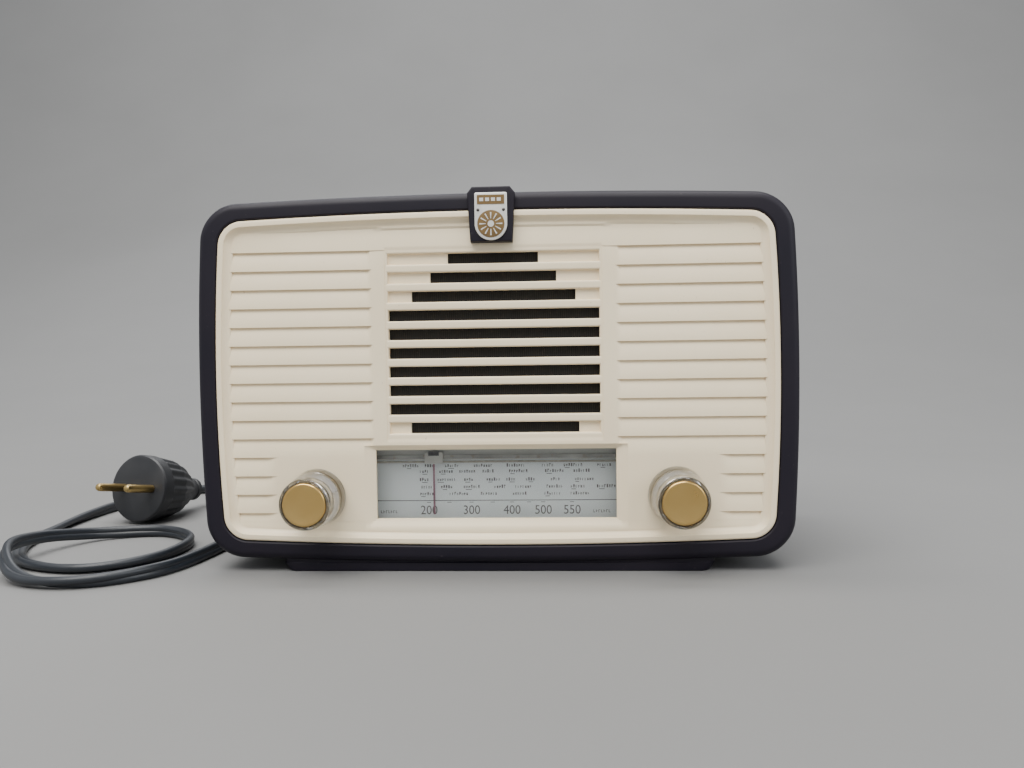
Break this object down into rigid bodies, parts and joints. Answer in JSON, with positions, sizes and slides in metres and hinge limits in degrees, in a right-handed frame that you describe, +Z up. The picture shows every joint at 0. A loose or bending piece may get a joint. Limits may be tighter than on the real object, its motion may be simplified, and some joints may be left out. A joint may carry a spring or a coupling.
{
  "type": "tabletop radio",
  "caption": "Upright tabletop mains radio: dark moulded cabinet on a plinth, ivory louvred front with grille and dial window, two knobs, back cover, chassis and mains lead.",
  "frame": {"origin": "centre of the plinth's underside, on the surface that the radio stands on", "axes": "+Z up, -Y out of the front with the knobs and the dial, +X to the right as seen from the front"},
  "size_m": [0.3732, 0.2481, 0.1597],
  "materials": {
    "bakelite": "moulded, aged semi-gloss, very dark brown-violet",
    "ivory": "moulded, satin, slightly yellowed",
    "clear": "clear moulded",
    "gold": "spun and polished gilt",
    "emblem": "stamped, with dark enamel",
    "silver": "bright plated",
    "glass": "polished",
    "scale": "printed, satin",
    "white": "painted, satin",
    "mauve": "painted, satin",
    "cloth": "open dark weave",
    "paper": "pressed paper pulp",
    "thread": "braided cord",
    "board": "pressed brown board",
    "steel": "plated sheet, dulled",
    "brass": "turned",
    "aluminium": "drawn, satin",
    "valve_glass": "blown glass with a getter patch",
    "ceramic": "fired clay tube, stands for ceramic",
    "winding": "waxed paper over enamelled wire",
    "rubber": "smooth blue-black lead"
  },
  "bodies": {
    "set": {"cabinet_shell": "bakelite", "front_panel": "ivory", "badge_plate": "emblem", "badge_rivet_left": "silver", "badge_rivet_right": "silver", "dial_glass": "glass", "dial_scale": "scale", "pointer_rail": "white", "dial_cord": "thread", "cord_pulley": "brass", "speaker_cloth": "cloth", "speaker_baffle": "board", "speaker_basket": "steel", "speaker_magnet": "steel", "gang_frame": "aluminium", "gang_stator": "aluminium", "volume_pot": "steel", "volume_nut": "brass", "tuning_bush": "brass", "chassis": "steel", "chassis_screw_left": "steel", "chassis_screw_right": "steel", "mixer_socket": "rubber", "mixer_valve": "valve_glass", "if_socket": "rubber", "if_valve": "valve_glass", "detector_socket": "rubber", "detector_valve": "valve_glass", "output_socket": "rubber", "output_valve": "valve_glass", "rectifier_socket": "rubber", "rectifier_valve": "valve_glass", "if_can_input": "aluminium", "if_can_output": "aluminium", "smoothing_capacitor": "aluminium", "transformer_core": "steel", "transformer_winding": "winding", "dropper_resistor": "ceramic", "aerial_socket": "board", "back_cover": "board", "back_screw_left_low": "steel", "back_screw_left_high": "steel", "back_screw_right_low": "steel", "back_screw_right_high": "steel", "cord_gland": "rubber", "mains_cord": "rubber", "plug_body": "bakelite", "plug_pin_left": "brass", "plug_pin_right": "brass"},
    "volume_control": {"volume_knob": "clear", "volume_cap": "gold", "volume_spindle": "brass"},
    "tuning_control": {"tuning_knob": "clear", "tuning_cap": "gold", "tuning_spindle": "brass"},
    "tuning_gang": {"drive_drum": "board", "gang_rotor": "aluminium"},
    "pointer": {"pointer_carriage": "white", "dial_pointer": "mauve"},
    "cone": {"speaker_cone": "paper"}
  },
  "joints": [
    {"name": "volume_turn", "type": "hinge", "parent": "set", "child": "volume_control", "pos_m": [-0.0754, -0.07, 0.0322], "axis": [0, 1, 0], "range_deg": [0, 290]},
    {"name": "tuning_turn", "type": "hinge", "parent": "set", "child": "tuning_control", "pos_m": [0.0754, -0.07, 0.0322], "axis": [0, 1, 0], "range_deg": [-132, 1029]},
    {"name": "gang_turn", "type": "hinge", "parent": "set", "child": "tuning_gang", "pos_m": [0.088, -0.04, 0.0689], "axis": [0, 1, 0], "range_deg": [-156, 20.1]},
    {"name": "pointer_slide", "type": "slide", "parent": "set", "child": "pointer", "axis": [1, 0, 0], "range_m": [-0.0081, 0.0629]},
    {"name": "cone_travel", "type": "slide", "parent": "set", "child": "cone", "axis": [0, 1, 0], "range_m": [-0.001, 0.001], "stiffness_N_per_m": 800}
  ],
  "couplings": [
    {"joint": "gang_turn", "follows": "tuning_turn", "ratio": -0.15152},
    {"joint": "pointer_slide", "follows": "tuning_turn", "m_per_rad": 0.0035}
  ]
}
